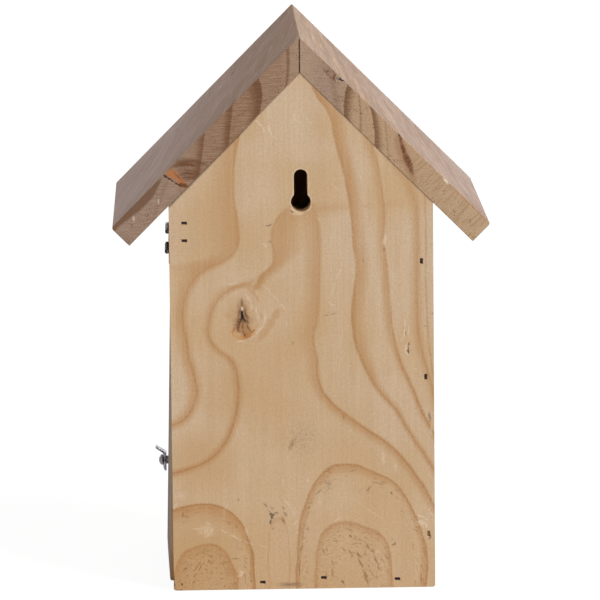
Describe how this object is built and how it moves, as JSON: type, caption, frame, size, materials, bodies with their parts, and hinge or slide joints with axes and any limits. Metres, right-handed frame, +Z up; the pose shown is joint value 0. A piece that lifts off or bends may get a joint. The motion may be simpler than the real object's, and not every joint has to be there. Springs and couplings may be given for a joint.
{
  "type": "bird nest box",
  "caption": "Wall-hung wooden nest box with a pitched roof, a round entrance, and a hinged cleaning door held shut by a turn catch.",
  "frame": {"origin": "under the middle of the box, at the centre of the bounding box's base, on the surface that it stands on", "axes": "+Z up, +Y towards the wall that the box hangs on (the back panel's outward side), -Y out of the round entrance; the door is on the +X side"},
  "size_m": [0.177, 0.154, 0.263],
  "materials": {
    "pine": "planed, untreated",
    "stained_pine": "thin grey-brown stain",
    "plated_steel": "dulled zinc plate",
    "dark_steel": "dull, dark"
  },
  "bodies": {
    "box": {"back_panel": "pine", "front_panel": "pine", "fixed_side": "stained_pine", "top_rail": "stained_pine", "floor": "pine", "roof_board_left": "stained_pine", "roof_board_right": "stained_pine", "rear_hinge_rail_leaf": "plated_steel", "rear_hinge_pin": "plated_steel", "front_hinge_rail_leaf": "plated_steel", "front_hinge_pin": "plated_steel", "rail_hinge_screws": "plated_steel", "catch_spacer": "plated_steel", "catch_screw": "plated_steel", "back_side_brads": "dark_steel", "back_rail_brads": "dark_steel", "back_floor_brads": "dark_steel", "front_side_brads": "dark_steel", "front_rail_brads": "dark_steel", "front_floor_brads": "dark_steel", "roof_left_brads": "dark_steel", "roof_right_brads": "dark_steel"},
    "door": {"door": "stained_pine", "rear_hinge_door_leaf": "plated_steel", "front_hinge_door_leaf": "plated_steel", "door_hinge_screws": "plated_steel"},
    "catch": {"catch_plate": "plated_steel"}
  },
  "joints": [
    {"name": "door_swing", "type": "hinge", "parent": "box", "child": "door", "pos_m": [0.06305, 0.015, 0.16], "axis": [0, -1, 0], "range_deg": [0, 100]},
    {"name": "catch_turn", "type": "hinge", "parent": "box", "child": "catch", "pos_m": [0.067, -0.0388, 0.041], "axis": [1, 0, 0], "range_deg": [0, 90]}
  ]
}
